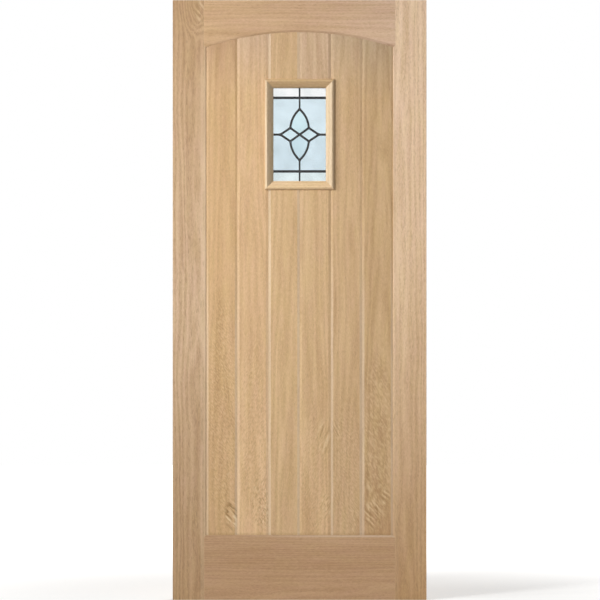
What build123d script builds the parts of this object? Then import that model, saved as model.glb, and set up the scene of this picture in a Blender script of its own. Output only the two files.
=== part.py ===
from build123d import *

import math
import os

# Oak door leaf: a stile and rail frame with an arched top rail, filled with V-jointed boards
# that are tongued into the frame, and a small leaded light glazed between mitred beads.
# Sizes are millimetres. X runs across the leaf, Z up from its bottom edge, and the front is at -Y.
# The origin is at the middle of the bottom edge.

# Leaf
DOOR_WIDTH = 838.0
DOOR_HEIGHT = 1981.0
DOOR_THICKNESS = 44.0

# Stile and rail frame
STILE_WIDTH = 110.0
BOTTOM_RAIL_HEIGHT = 214.0
ARCH_CROWN_DEPTH = 106.0  # from the top edge down to the highest point of the arch
ARCH_RISE = 50.0
STICKING_WIDTH = 7.0  # sloped edge round the boards, as seen from the front
PANEL_RECESS = 1.8  # from the face of the frame down to the face of the boards

# Boards
BOARD_COUNT = 6
BOARD_V_WIDTH = 8.0  # of one side of a V joint, as seen from the front
BOARD_V_DEPTH = 1.5
BOARD_JOINT_GAP = 0.2
TONGUE_THICKNESS = 10.0
TONGUE_LENGTH = 9.0
TONGUE_PLAY = 0.15
GROOVE_END_GAP = 1.5

# Dowels that join the rails to the stiles
DOWEL_DIAMETER = 16.0
DOWEL_LENGTH = 120.0
DOWEL_CHAMFER = 1.5
DOWEL_FIT = 0.1
DOWEL_END_GAP = 1.0
DOWEL_EDGE = 20.0  # least wood left beside a dowel
TOP_RAIL_DOWELS = 2  # at each end
BOTTOM_RAIL_DOWELS = 3  # at each end

# Light: an opening as wide as the middle boards, and the sealed unit that sits in it
LIGHT_BOARDS = 2
LIGHT_DROP = 443.5  # from the top edge down to the middle of the light
APERTURE_HEIGHT = 341.0
UNIT_EDGE_GAP = 4.0
EDGE_COVER = 12.5  # how far the beads cover the edge of the unit
PANE_THICKNESS = 4.0
CAVITY_DEPTH = 4.0
SEAL_WIDTH = 4.5
SPACER_WIDTH = 7.0
TAPE_THICKNESS = 2.0
TAPE_SETBACK = 1.0  # from the sight edge of the bead to the tape under it
SETTING_BLOCK_LENGTH = 30.0
SETTING_BLOCK_PLACE_SHARE = 0.5  # of half the unit's width

# Leaded panel inside the unit
QUARRY_THICKNESS = 4.0
QUARRY_FIT = 0.4  # between the edge of a quarry and the heart of the came
CAME_FIT = 0.1  # between the face of a quarry and the leaf of the came
CAME_LEAF_THICKNESS = 1.2
CAME_HEART_WIDTH = 1.6
CAME_BAR_WIDTH = 8.4
CAME_SHAPED_WIDTH = 7.2
CAME_STEM_WIDTH = 5.7
BORDER_LEAF_WIDTH = 6.0
BAR_HEIGHT_SHARE = 0.79  # these are of half the sight size, measured from the middle of the light
LANCET_TIP_SHARE = 0.545
LANCET_JOINT_WIDTH_SHARE = 0.352
LANCET_JOINT_HEIGHT_SHARE = 0.143
DIAMOND_TIP_SHARE = 0.734
LANCET_BULGE_SHARE = 0.1  # of the straight line from the tip to the joint

# Glazing beads, the same on both faces
BEAD_LAP = 12.0  # how far a bead laps onto the boards
BEAD_RISE = 10.5  # from the face of the boards to the crest
BEAD_NOSE_WIDTH = 8.0  # rounded part from the crest out to the edge on the boards
BEAD_NOSE_EDGE = 2.0  # upright edge of the nose on the boards
BEAD_NOSE_BULGE_SHARE = 0.18  # of the straight line across the nose
BEAD_SIGHT_EDGE = 3.0  # upright edge beside the glass
BEAD_SLOPE_BULGE_SHARE = 0.04  # of the straight line from the sight edge to the crest
BEAD_FIT = 0.3
BRAD_WIDTH = 1.25
BRAD_BREADTH = 1.0
BRAD_LENGTH = 20.0
BRAD_PUNCH = 3.5  # from the crest down to the head
BRAD_FIT = 0.05
BRAD_END_GAP = 0.5
BRAD_SPREAD_SHARES = (-0.62, 0.62)  # of half a bead's sight edge

OVERRUN = 2.0  # how far a cut runs past the surface that it clears
FULL_TURN = 360
HALF_TURN = 180
QUARTER_TURN = 90

# Sizes that follow from those above
HALF_OPENING = DOOR_WIDTH / 2 - STILE_WIDTH
BOARD_PITCH = 2 * HALF_OPENING / BOARD_COUNT
BOARD_THICKNESS = DOOR_THICKNESS - 2 * PANEL_RECESS
GROOVE_WIDTH = TONGUE_THICKNESS + 2 * TONGUE_PLAY
GROOVE_DEPTH = TONGUE_LENGTH + GROOVE_END_GAP

ARCH_RADIUS = (HALF_OPENING ** 2 + ARCH_RISE ** 2) / (2 * ARCH_RISE)
ARCH_CENTRE = DOOR_HEIGHT - ARCH_CROWN_DEPTH - ARCH_RADIUS
ARCH_SPRING = DOOR_HEIGHT - ARCH_CROWN_DEPTH - ARCH_RISE

LIGHT_HEIGHT = DOOR_HEIGHT - LIGHT_DROP
APERTURE_WIDTH = LIGHT_BOARDS * BOARD_PITCH + BOARD_JOINT_GAP
UNIT_WIDTH = APERTURE_WIDTH - 2 * UNIT_EDGE_GAP
UNIT_HEIGHT = APERTURE_HEIGHT - 2 * UNIT_EDGE_GAP
SIGHT_WIDTH = UNIT_WIDTH - 2 * EDGE_COVER
SIGHT_HEIGHT = UNIT_HEIGHT - 2 * EDGE_COVER
CAMED_WIDTH = UNIT_WIDTH - 2 * SEAL_WIDTH
CAMED_HEIGHT = UNIT_HEIGHT - 2 * SEAL_WIDTH
CAME_DEPTH = QUARRY_THICKNESS + 2 * CAME_FIT + 2 * CAME_LEAF_THICKNESS
UNIT_THICKNESS = CAME_DEPTH + 2 * CAVITY_DEPTH + 2 * PANE_THICKNESS
BEAD_WIDTH = EDGE_COVER + UNIT_EDGE_GAP + BEAD_LAP
BEAD_CREST = BOARD_THICKNESS / 2 + BEAD_RISE
SETTING_BLOCK_PLACE = SETTING_BLOCK_PLACE_SHARE * UNIT_WIDTH / 2

# Plane for the section of a piece that lies along X: drawn upwards first, then towards the front
SECTION_ACROSS = Plane(origin=(0, 0, 0), x_dir=(0, 0, 1), z_dir=(1, 0, 0))


def prism_up(section, bottom, top):
    """Raise a section drawn in the plan from one height to another."""
    return Pos(0, 0, bottom) * extrude(section, amount=top - bottom, dir=(0, 0, 1))


def slab(outline, thickness):
    """Thicken an outline drawn as seen from the front, evenly about the leaf's mid-plane."""
    return extrude(Plane.XZ * outline, amount=thickness / 2, both=True)


def at_light(shape, depth=0):
    """Move a shape made about the origin to the middle of the light, at a depth in the leaf."""
    return Pos(0, depth, LIGHT_HEIGHT) * shape


def mirrored(points):
    """Close a half outline with its mirror image in the leaf's mid-plane."""
    return points + [(along, -across) for along, across in reversed(points)]


# Stile and rail frame


def moulded_edge(edge, into_wood):
    """Half outline of a grooved and sloped edge, from the face in to the bottom of the groove."""
    return [
        (edge + into_wood * STICKING_WIDTH, -DOOR_THICKNESS / 2),
        (edge, -BOARD_THICKNESS / 2),
        (edge, -GROOVE_WIDTH / 2),
        (edge + into_wood * GROOVE_DEPTH, -GROOVE_WIDTH / 2),
    ]


def framing_section(width):
    """Section of a framing member, with its plain edge at zero and its moulded edge at its width."""
    half = [(0, -DOOR_THICKNESS / 2)] + moulded_edge(width, into_wood=-1)
    return Polygon(*mirrored(half), align=None)


def rail_plan():
    """Plan of a rail: ends scribed over the slopes of the stiles, and stub tenons in their grooves."""
    right = mirrored([
        (HALF_OPENING + STICKING_WIDTH, -DOOR_THICKNESS / 2),
        (HALF_OPENING, -BOARD_THICKNESS / 2),
        (HALF_OPENING, -TONGUE_THICKNESS / 2),
        (HALF_OPENING + TONGUE_LENGTH, -TONGUE_THICKNESS / 2),
    ])
    left = [(-along, -across) for along, across in right]
    return Polygon(*right, *left, align=None)


def arch_cutter():
    """Disc turned about the arch's centre that clears the arch, its slope and its groove."""
    rim = ARCH_RADIUS + STICKING_WIDTH
    outside = -DOOR_THICKNESS / 2 - OVERRUN
    half = [(0, outside), (rim, outside)] + moulded_edge(ARCH_RADIUS, into_wood=1)
    return Pos(0, 0, ARCH_CENTRE) * revolve(Polygon(*mirrored(half), align=None), Axis.Y, FULL_TURN)


def evenly_spaced(lowest, highest, count):
    """Heights of a row of dowels, the first and last at the two limits."""
    return [lowest + (highest - lowest) * step / (count - 1) for step in range(count)]


def top_rail_dowel_heights():
    """Heights that keep each dowel clear of the top edge and of the groove over the arch."""
    inner_end = HALF_OPENING - DOWEL_LENGTH / 2
    groove_top = ARCH_CENTRE + math.sqrt((ARCH_RADIUS + GROOVE_DEPTH) ** 2 - inner_end ** 2)
    keep_off = DOWEL_EDGE + DOWEL_DIAMETER / 2
    return evenly_spaced(groove_top + keep_off, DOOR_HEIGHT - keep_off, TOP_RAIL_DOWELS)


def bottom_rail_dowel_heights():
    """Heights that keep each dowel clear of the bottom edge and of the groove for the boards."""
    keep_off = DOWEL_EDGE + DOWEL_DIAMETER / 2
    return evenly_spaced(keep_off, BOTTOM_RAIL_HEIGHT - GROOVE_DEPTH - keep_off, BOTTOM_RAIL_DOWELS)


def row_of_rods(heights, rod):
    """Copy a rod that lies along X to each height, at both shoulders of a rail."""
    places = [(side * HALF_OPENING, height) for side in (-1, 1) for height in heights]
    return [Pos(place, 0, height) * rod for place, height in places]


def make_dowels(heights):
    """Dowels of one rail, with chamfered ends."""
    rod = Rot(0, QUARTER_TURN, 0) * Cylinder(DOWEL_DIAMETER / 2, DOWEL_LENGTH)
    return row_of_rods(heights, chamfer(rod.edges().filter_by(GeomType.CIRCLE), DOWEL_CHAMFER))


def dowel_holes(heights):
    """Drilled holes that the dowels of one rail sit in."""
    radius = DOWEL_DIAMETER / 2 + DOWEL_FIT
    return row_of_rods(heights, Rot(0, QUARTER_TURN, 0) * Cylinder(radius, DOWEL_LENGTH + 2 * DOWEL_END_GAP))


def make_frame():
    """Two stiles, the bottom rail, the arched top rail and the dowels between them."""
    top_heights = top_rail_dowel_heights()
    bottom_heights = bottom_rail_dowel_heights()
    holes = dowel_holes(top_heights) + dowel_holes(bottom_heights)

    stile = Pos(-DOOR_WIDTH / 2, 0, 0) * prism_up(framing_section(STILE_WIDTH), 0, DOOR_HEIGHT)
    top_blank = prism_up(rail_plan(), ARCH_SPRING - OVERRUN, DOOR_HEIGHT)
    bottom_blank = prism_up(rail_plan(), 0, BOTTOM_RAIL_HEIGHT)
    bottom_section = SECTION_ACROSS * framing_section(BOTTOM_RAIL_HEIGHT)
    bottom_edge = extrude(bottom_section, amount=DOOR_WIDTH / 2, both=True)
    return {
        "hinge_stile": stile - holes,
        "lock_stile": Rot(0, 0, HALF_TURN) * stile - holes,
        "top_rail": top_blank - arch_cutter() - holes,
        "bottom_rail": (bottom_blank & bottom_edge) - holes,
        "top_rail_dowels": make_dowels(top_heights),
        "bottom_rail_dowels": make_dowels(bottom_heights),
    }


# Boards


def board_section(index):
    """Plan of a board: shallow V edges, a tongue on the right and a groove, or on the first a tongue, left."""
    left = -HALF_OPENING + index * BOARD_PITCH + BOARD_JOINT_GAP / 2
    right = left + BOARD_PITCH - BOARD_JOINT_GAP
    face = BOARD_THICKNESS / 2
    left_joint = [
        (left - TONGUE_LENGTH, -TONGUE_THICKNESS / 2),
        (left, -TONGUE_THICKNESS / 2),
    ]
    if index > 0:
        left_joint = [
            (left + GROOVE_DEPTH, -GROOVE_WIDTH / 2),
            (left, -GROOVE_WIDTH / 2),
        ]
    half = left_joint + [
        (left, -face + BOARD_V_DEPTH),
        (left + BOARD_V_WIDTH, -face),
        (right - BOARD_V_WIDTH, -face),
        (right, -face + BOARD_V_DEPTH),
        (right, -TONGUE_THICKNESS / 2),
        (right + TONGUE_LENGTH, -TONGUE_THICKNESS / 2),
    ]
    return Polygon(*mirrored(half), align=None)


def arched_outline(margin):
    """Front outline of the panel under the arch, grown on every side by a margin."""
    half_width = HALF_OPENING + margin
    radius = ARCH_RADIUS + margin
    foot = BOTTOM_RAIL_HEIGHT - margin
    spring = ARCH_CENTRE + math.sqrt(radius ** 2 - half_width ** 2)
    sides = Polyline((-half_width, spring), (-half_width, foot), (half_width, foot), (half_width, spring))
    head = ThreePointArc((half_width, spring), (0, ARCH_CENTRE + radius), (-half_width, spring))
    return make_face(sides.edges() + head.edges())


def panel_envelope():
    """Space that the boards fill: full thickness inside the frame, and a tongue into its grooves."""
    body = slab(arched_outline(-BOARD_JOINT_GAP / 2), BOARD_THICKNESS)
    return body + slab(arched_outline(TONGUE_LENGTH), TONGUE_THICKNESS)


def make_boards(brad_holes):
    """Boards from the hinge side to the lock side, the middle ones in two lengths round the light."""
    envelope = panel_envelope()
    first_parted = (BOARD_COUNT - LIGHT_BOARDS) // 2
    parted = range(first_parted, first_parted + LIGHT_BOARDS)
    boards = {}
    for index in range(BOARD_COUNT):
        board = prism_up(board_section(index), 0, DOOR_HEIGHT) & envelope
        cut_width = DOOR_WIDTH if index in parted else APERTURE_WIDTH
        aperture = at_light(Box(cut_width, DOOR_THICKNESS, APERTURE_HEIGHT))
        lengths = (board - aperture - brad_holes).solids().sort_by(Axis.Z)
        endings = [""] if len(lengths) == 1 else ["_lower", "_upper"]
        for ending, length in zip(endings, lengths):
            boards[f"board_{index + 1}{ending}"] = length
    return boards


# Glazing beads


def bead_section():
    """Section of a bead, drawn out from its sight edge and forward from the leaf's mid-plane."""
    lip = UNIT_THICKNESS / 2 + TAPE_THICKNESS
    seat = BOARD_THICKNESS / 2
    tongue = EDGE_COVER + UNIT_EDGE_GAP - BEAD_FIT
    slope_foot = lip + BEAD_SIGHT_EDGE
    nose_foot = seat + BEAD_NOSE_EDGE
    slope_width = BEAD_WIDTH - BEAD_NOSE_WIDTH
    back = Polyline(
        (BEAD_WIDTH, nose_foot),
        (BEAD_WIDTH, seat),
        (tongue, seat),
        (tongue, lip),
        (0, lip),
        (0, slope_foot),
    )
    crest = (slope_width, BEAD_CREST)
    slope_bulge = BEAD_SLOPE_BULGE_SHARE * math.hypot(slope_width, BEAD_CREST - slope_foot)
    nose_bulge = BEAD_NOSE_BULGE_SHARE * math.hypot(BEAD_NOSE_WIDTH, BEAD_CREST - nose_foot)
    slope = SagittaArc((0, slope_foot), crest, slope_bulge)
    nose = SagittaArc(crest, (BEAD_WIDTH, nose_foot), nose_bulge)
    return make_face(back.edges() + slope.edges() + nose.edges())


def brad_row(sight_edge, fit, start, end):
    """Lengths of flat wire through the nose of a bead, between two distances forward."""
    wire = Box(BRAD_WIDTH + 2 * fit, end - start, BRAD_BREADTH + 2 * fit)
    places = [share * sight_edge / 2 for share in BRAD_SPREAD_SHARES]
    return [Pos(place, -(start + end) / 2, BEAD_WIDTH - BEAD_NOSE_WIDTH / 2) * wire for place in places]


def mitred_bead(sight_edge):
    """Bead that lies along X with its sight edge at height zero, cut to mitres at both ends."""
    half = sight_edge / 2
    moulding = extrude(SECTION_ACROSS * bead_section(), amount=half + BEAD_WIDTH, both=True)
    mitre = Polygon(
        (-half, 0),
        (half, 0),
        (half + BEAD_WIDTH, BEAD_WIDTH),
        (-half - BEAD_WIDTH, BEAD_WIDTH),
        align=None,
    )
    return moulding & slab(mitre, 2 * (BEAD_CREST + OVERRUN))


def make_beads():
    """Four mitred beads on each face, their brads, and the holes that the brads leave in the boards."""
    head = BEAD_CREST - BRAD_PUNCH
    point = head - BRAD_LENGTH
    sides = {
        "top": (SIGHT_WIDTH, SIGHT_HEIGHT, 0),
        "right": (SIGHT_HEIGHT, SIGHT_WIDTH, QUARTER_TURN),
        "bottom": (SIGHT_WIDTH, SIGHT_HEIGHT, HALF_TURN),
        "left": (SIGHT_HEIGHT, SIGHT_WIDTH, -QUARTER_TURN),
    }
    beads = {}
    brad_holes = []
    for face, turn in (("outer", 0), ("inner", HALF_TURN)):
        brads = []
        for side, (sight_edge, sight_across, angle) in sides.items():
            place = Rot(0, 0, turn) * Pos(0, 0, LIGHT_HEIGHT) * Rot(0, angle, 0) * Pos(0, 0, sight_across / 2)
            holes = brad_row(sight_edge, BRAD_FIT, point - BRAD_END_GAP, BEAD_CREST + OVERRUN)
            beads[f"{face}_bead_{side}"] = place * (mitred_bead(sight_edge) - holes)
            brads += [place * brad for brad in brad_row(sight_edge, 0, point, head)]
            brad_holes += [place * hole for hole in holes]
        beads[f"{face}_bead_brads"] = brads
    return beads, brad_holes


# Sealed unit


def light_ring(width, height, rim, thickness, depth=0):
    """Flat rectangular ring round the light."""
    ring = Rectangle(width, height) - Rectangle(width - 2 * rim, height - 2 * rim)
    return at_light(slab(ring, thickness), depth)


def make_unit():
    """Panes, spacers, edge seal, glazing tapes and setting blocks, which hold the leaded panel."""
    tape_width = EDGE_COVER - TAPE_SETBACK
    spacer_size = (CAMED_WIDTH, CAMED_HEIGHT, SPACER_WIDTH, CAVITY_DEPTH)
    tape_size = (UNIT_WIDTH, UNIT_HEIGHT, tape_width, TAPE_THICKNESS)
    unit = {
        "edge_seal": light_ring(UNIT_WIDTH, UNIT_HEIGHT, SEAL_WIDTH, CAME_DEPTH + 2 * CAVITY_DEPTH)
    }
    for face, forward in (("outer", -1), ("inner", 1)):
        pane_depth = forward * (UNIT_THICKNESS - PANE_THICKNESS) / 2
        spacer_depth = forward * (CAME_DEPTH + CAVITY_DEPTH) / 2
        tape_depth = forward * (UNIT_THICKNESS + TAPE_THICKNESS) / 2
        unit[f"{face}_pane"] = at_light(Box(UNIT_WIDTH, PANE_THICKNESS, UNIT_HEIGHT), pane_depth)
        unit[f"{face}_spacer"] = light_ring(*spacer_size, spacer_depth)
        unit[f"{face}_glazing_tape"] = light_ring(*tape_size, tape_depth)
    block = Box(SETTING_BLOCK_LENGTH, UNIT_THICKNESS, UNIT_EDGE_GAP)
    block_drop = (UNIT_HEIGHT + UNIT_EDGE_GAP) / 2
    unit["setting_blocks"] = [
        at_light(Pos(side * SETTING_BLOCK_PLACE, 0, -block_drop) * block) for side in (-1, 1)
    ]
    return unit


# Leaded panel


def came_joints():
    """Where the shaped cames meet, as distances from the middle of the light."""
    half_width = SIGHT_WIDTH / 2
    half_height = SIGHT_HEIGHT / 2
    bar = BAR_HEIGHT_SHARE * half_height
    tip = LANCET_TIP_SHARE * half_height
    joint = (LANCET_JOINT_WIDTH_SHARE * half_width, LANCET_JOINT_HEIGHT_SHARE * half_height)
    diamond = DIAMOND_TIP_SHARE * half_width
    return bar, tip, joint, diamond


def came_plan(bar_width, shaped_width, stem_width):
    """Cames as seen from the front: bars, stems, two lancets and the crossed diamonds between them."""
    bar, tip, (joint_x, joint_z), diamond = came_joints()
    reach_x = (CAMED_WIDTH - CAME_HEART_WIDTH) / 2
    reach_z = (CAMED_HEIGHT - CAME_HEART_WIDTH) / 2
    bow = LANCET_BULGE_SHARE * math.hypot(joint_x, tip - joint_z)
    cames = []
    for level in (-1, 1):
        cames.append(trace(Line((-reach_x, level * bar), (reach_x, level * bar)), bar_width))
        cames.append(trace(Line((0, level * tip), (0, level * reach_z)), stem_width))
    for side in (-1, 1):
        cames.append(trace(Line((side * diamond, 0), (side * reach_x, 0)), shaped_width))
        for level in (-1, 1):
            joint = (side * joint_x, level * joint_z)
            cames.append(trace(Line((0, 0), joint), shaped_width))
            cames.append(trace(Line(joint, (side * diamond, 0)), shaped_width))
            cames.append(trace(SagittaArc((0, level * tip), joint, side * level * bow), shaped_width))
    return Sketch() + cames


def make_cames():
    """One soldered lattice: leaves on both faces, the hearts between them, and a border all round."""
    leaf_depth = (CAME_DEPTH - CAME_LEAF_THICKNESS) / 2
    leaf = slab(came_plan(CAME_BAR_WIDTH, CAME_SHAPED_WIDTH, CAME_STEM_WIDTH), CAME_LEAF_THICKNESS)
    cames = slab(came_plan(CAME_HEART_WIDTH, CAME_HEART_WIDTH, CAME_HEART_WIDTH), CAME_DEPTH)
    border_size = (CAMED_WIDTH, CAMED_HEIGHT)
    border = [light_ring(*border_size, CAME_HEART_WIDTH, CAME_DEPTH)]
    for forward in (-1, 1):
        cames += Pos(0, forward * leaf_depth, 0) * leaf
        border.append(
            light_ring(*border_size, BORDER_LEAF_WIDTH, CAME_LEAF_THICKNESS, forward * leaf_depth)
        )
    return at_light(cames) + border


def quarry_name(centre):
    """Name a quarry by its place in the pattern."""
    bar, *_ = came_joints()
    above = centre.Z - LIGHT_HEIGHT
    side = "left" if centre.X < 0 else "right"
    level = "upper" if above > 0 else "lower"
    if abs(above) > bar:
        return f"quarry_strip_{level}_{side}"
    if abs(centre.X) < CAME_STEM_WIDTH:
        return f"quarry_lancet_{level}"
    if abs(above) < CAME_STEM_WIDTH:
        return f"quarry_diamond_{side}"
    return f"quarry_field_{level}_{side}"


def make_quarries():
    """Pieces of glass that fill the lattice, cut back from the hearts of the cames."""
    rim = CAME_HEART_WIDTH + QUARRY_FIT
    cut = CAME_HEART_WIDTH + 2 * QUARRY_FIT
    sheet = Rectangle(CAMED_WIDTH - 2 * rim, CAMED_HEIGHT - 2 * rim) - came_plan(cut, cut, cut)
    glass = at_light(slab(sheet, QUARRY_THICKNESS))
    return {quarry_name(quarry.center()): quarry for quarry in glass.solids()}


def make_door():
    """Every piece of the leaf by name, with groups of like pieces as lists."""
    beads, brad_holes = make_beads()
    pieces = make_frame()
    pieces.update(make_boards(brad_holes))
    pieces.update(beads)
    pieces.update(make_unit())
    pieces["lead_cames"] = make_cames()
    pieces.update(make_quarries())
    return pieces


os.makedirs("parts", exist_ok=True)
for name, piece in make_door().items():
    shape = Compound(piece) if isinstance(piece, list) else piece
    export_step(shape, os.path.join("parts", f"{name}.step"))
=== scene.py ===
"""Dresses a boarded oak door leaf with an arched top rail and a leaded light."""

import logging
import math
from dataclasses import dataclass, field
from enum import Enum

import bmesh
import bpy
from bpy.types import Material, NodeSocket, NodeTree, Object
from mathutils import Euler, Matrix, Vector


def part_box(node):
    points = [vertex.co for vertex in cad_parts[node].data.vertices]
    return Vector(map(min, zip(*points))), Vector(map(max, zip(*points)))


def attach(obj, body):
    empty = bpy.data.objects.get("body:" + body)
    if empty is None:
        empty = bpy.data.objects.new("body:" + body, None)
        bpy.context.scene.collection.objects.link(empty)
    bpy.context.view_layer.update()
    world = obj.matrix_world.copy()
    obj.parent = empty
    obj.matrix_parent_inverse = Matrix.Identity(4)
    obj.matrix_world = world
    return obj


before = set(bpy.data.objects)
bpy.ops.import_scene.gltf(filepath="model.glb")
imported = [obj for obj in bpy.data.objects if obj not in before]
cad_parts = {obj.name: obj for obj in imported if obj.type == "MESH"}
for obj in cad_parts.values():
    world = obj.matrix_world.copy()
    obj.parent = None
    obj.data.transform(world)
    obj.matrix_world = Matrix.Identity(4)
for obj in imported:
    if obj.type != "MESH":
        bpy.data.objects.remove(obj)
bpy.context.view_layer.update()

LOG = logging.getLogger("door_leaf")
MM = 0.001
BODY = "root"
Colour = tuple[float, float, float, float]
Marks = list[tuple[NodeSocket, str]]
# Sockets of a Mix node that mixes colours, and what makes it one.
SHARE, UNDER, OVER = 0, 6, 7
COLOURS = {"data_type": "RGBA", "out": 2}
# A MapRange takes a value, the range it comes from and the range it goes to. This eases its ends.
SMOOTH = {"interpolation_type": "SMOOTHSTEP"}
WHITE: Colour = (1.0, 1.0, 1.0, 1.0)
# Values between which most of a noise lies.
NOISE_LOW, NOISE_HIGH = 0.3, 0.7
# Colours of marks in oak.
PORE_BROWN = "#8A6A48"
# Also used for the painted shadow at the boards' feet.
DARK_OAK = "#94703F"
FLECK_PALE = "#EBD2A8"
SANDED_PALE = "#EAD3B0"
# Painted highlight on the shallow slopes of the joints.
SLOPE_HIGHLIGHT = "#F2E6D4"
LIPPING_PALE = "#F4DDBE"


def linear(hex_colour: str, gain: float = 1.0) -> Colour:
    """Turns an sRGB hex colour to a linear one.

    Args:
        hex_colour: Six hex digits after a hash.
        gain: Factor on the linear values, to darken or lighten the colour.

    Returns:
        Red, green, blue and an alpha of one.
    """
    values = []
    for start in (1, 3, 5):
        part = int(hex_colour[start:start + 2], 16) / 255
        value = part / 12.92 if part <= 0.04045 else ((part + 0.055) / 1.055) ** 2.4
        values.append(min(value * gain, 1.0))
    return (*values, 1.0)


def per_metre(*sizes_mm: float) -> tuple[float, ...]:
    """Gives the pattern scales at which one unit of noise spans each size in millimetres."""
    return tuple(1 / (size * MM) for size in sizes_mm)


def add_node(
    tree: NodeTree, kind: str, inputs: dict | list | tuple = (), out: str | int = 0, **settings: object
) -> NodeSocket | None:
    """Adds one shader node with its settings and links.

    Args:
        tree: The material's node tree.
        kind: The node's type, without its ShaderNode prefix.
        inputs: Values of its sockets or outputs that feed them, in order, or by name or number.
        out: Name or number of the output that is wanted.
        **settings: Properties of the node itself.

    Returns:
        That output, or None where the node has none.
    """
    node = tree.nodes.new("ShaderNode" + kind)
    for name, value in settings.items():
        setattr(node, name, value)
    for socket, value in inputs.items() if isinstance(inputs, dict) else enumerate(inputs):
        if isinstance(value, NodeSocket):
            tree.links.new(value, node.inputs[socket])
        else:
            node.inputs[socket].default_value = value
    return node.outputs[out] if node.outputs else None


def new_material(name: str) -> tuple[Material, NodeTree]:
    """Makes an empty node material.

    Args:
        name: Name for the material.

    Returns:
        The material and its node tree.
    """
    material = bpy.data.materials.new(name)
    material.use_nodes = True
    material.node_tree.nodes.clear()
    return material, material.node_tree


def close_material(tree: NodeTree, inputs: dict) -> None:
    """Ends a node tree in a principled shader.

    Args:
        tree: The material's node tree.
        inputs: What the shader's sockets hold or are fed by.
    """
    shader = add_node(tree, "BsdfPrincipled", inputs)
    add_node(tree, "OutputMaterial", {"Surface": shader})


def put_on(piece: Object, material: Material) -> None:
    """Assigns one material to every slot of a piece.

    Args:
        piece: The object to dress.
        material: The finish it gets.
    """
    if not piece.material_slots:
        piece.data.materials.append(material)
    for slot in piece.material_slots:
        slot.material = material


class Grain(Enum):
    """Which way the grain of a piece runs, as the turn that stands it upright."""

    UPRIGHT = 0.0
    LEVEL = -90.0


class OakTone(Enum):
    """Colours of bare oak, as the boards of one door are picked; some stand in for painted light or shade,
    as noted where they are used.
    """

    HONEY = "#D2AD80"
    STRAW = "#D5B388"
    TAN = "#D3B187"
    FAWN = "#CFAD84"
    OLIVE = "#C8A67C"
    ROSE = "#CFB090"
    CREAM = "#DFBF9C"
    BISCUIT = "#CCA886"
    RUSSET = "#C19C78"
    # Tones of the beads: darker on the top one as painted shade, paler on the bottom one as painted light,
    # paler and greyer on the side ones as a painted sheen.
    PALE = "#D4BD9D"
    SHADED = "#CBAB81"
    BRIGHT = "#E6C79F"
    # Used for feet that darken as painted shade.
    AMBER = "#C09A70"
    SMOKED = "#BD9A73"
    BLUSH = "#EBCCAD"
    WHEAT = "#DAB68C"
    SAND = "#CBA780"
    SHELL = "#D6B599"
    LINEN = "#E2BD92"
    # Used for board heads that darken as painted shade under the arch.
    DUSK = "#C2A687"
    ASHEN = "#B89E7F"

    def at(self, depth: float) -> Colour:
        """Gives the tone of wood that is darker and so redder (depth under 1), or paler and so greyer."""
        red, green, blue, alpha = linear(self.value)
        return (red * depth ** 0.75, green * depth, blue * depth ** 1.4, alpha)


class Slope(Enum):
    """Painted light and shade on a joint's shallow slope: the colour painted on, and how far the wood goes
    towards it.
    """

    # Pale colours painted on as highlights, on slopes that face the lamps and on slopes that face away,
    # which they lift out of shade.
    FAINT_HIGHLIGHT = (SLOPE_HIGHLIGHT, 0.1)
    FULL_HIGHLIGHT = (SLOPE_HIGHLIGHT, 0.2)
    WARM_HIGHLIGHT = ("#F6DCB4", 0.2)
    # A dark colour painted on as the shadow line under the arch.
    ARCH_SHADOW = ("#7C5E40", 0.25)
    # Pore brown painted on as shade on upper slopes, which the key lamp lights more.
    UPPER_SHADE = (PORE_BROWN, 0.18)
    PLAIN = (SLOPE_HIGHLIGHT, 0.0)


@dataclass(frozen=True)
class RayFleck:
    """A patch where the cut runs along the wood's rays and shows them as pale flecks with dark edges.

    Attributes:
        centre: Place on the leaf's face, across and up, in mm.
        reach: Half width and half height of the patch, in mm.
        slope: Angle of the flecks from the grain, in degrees, positive to the right as they rise.
        strength: How far the flecks go towards their own colours.
        size: Width and length of one fleck, in mm.
    """

    centre: tuple[float, float]
    reach: tuple[float, float]
    slope: float
    strength: float
    size: tuple[float, float]


@dataclass(frozen=True)
class Swirl:
    """A place where the growth rings bulge round a small knot below the face.

    Attributes:
        centre: Place on the leaf's face, across and up, in mm.
        reach: How far the bulge spreads, in mm.
        lift: How far it lifts the rings, in mm.
    """

    centre: tuple[float, float]
    reach: float
    lift: float


@dataclass(frozen=True)
class Streak:
    """A layer of noise that is stretched along the grain.

    Attributes:
        size: Width, depth and length of one streak, in mm.
        detail: How many finer layers are added.
        shift: Moves the pattern, so that two of the same size differ.
    """

    size: tuple[float, float, float]
    detail: float = 2.0
    shift: float = 0.0


# What shades the wood besides its rings, with how far: fibres, bands, a short mottle and a slow drift.
FIBRE = Streak((2.0, 2.0, 22.0))
SHADING = {
    FIBRE: 0.2,
    Streak((12.0, 12.0, 200.0), shift=23.0): 0.26,
    Streak((4.0, 4.0, 10.0)): 0.36,
    Streak((38.0, 38.0, 620.0), detail=1.0): 0.3,
}
# Depths of the darkest and the palest wood of a piece, and the mean shade between them.
DARK_WOOD, PALE_WOOD, MEAN_SHADE = 0.7, 1.22, 0.55
# Patches in which the hue wanders, between a faint yellow and a faint pink.
HUE = Streak((22.0, 22.0, 110.0), detail=1.0, shift=17.0)
TINGES = ("#FFFFF4", "#FFFBFA")
# Factors on the seed and offsets that keep a piece's patterns apart.
STREAK_SEED, DASH_SEED = 7.3, 3.1
WANDER_OFF, STREAK_OFF, DASH_OFF = (3, 5), 11, 2
# Noise that becomes zero and one in a streak.
STREAK_SPAN = (0.25, 0.75)
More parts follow.
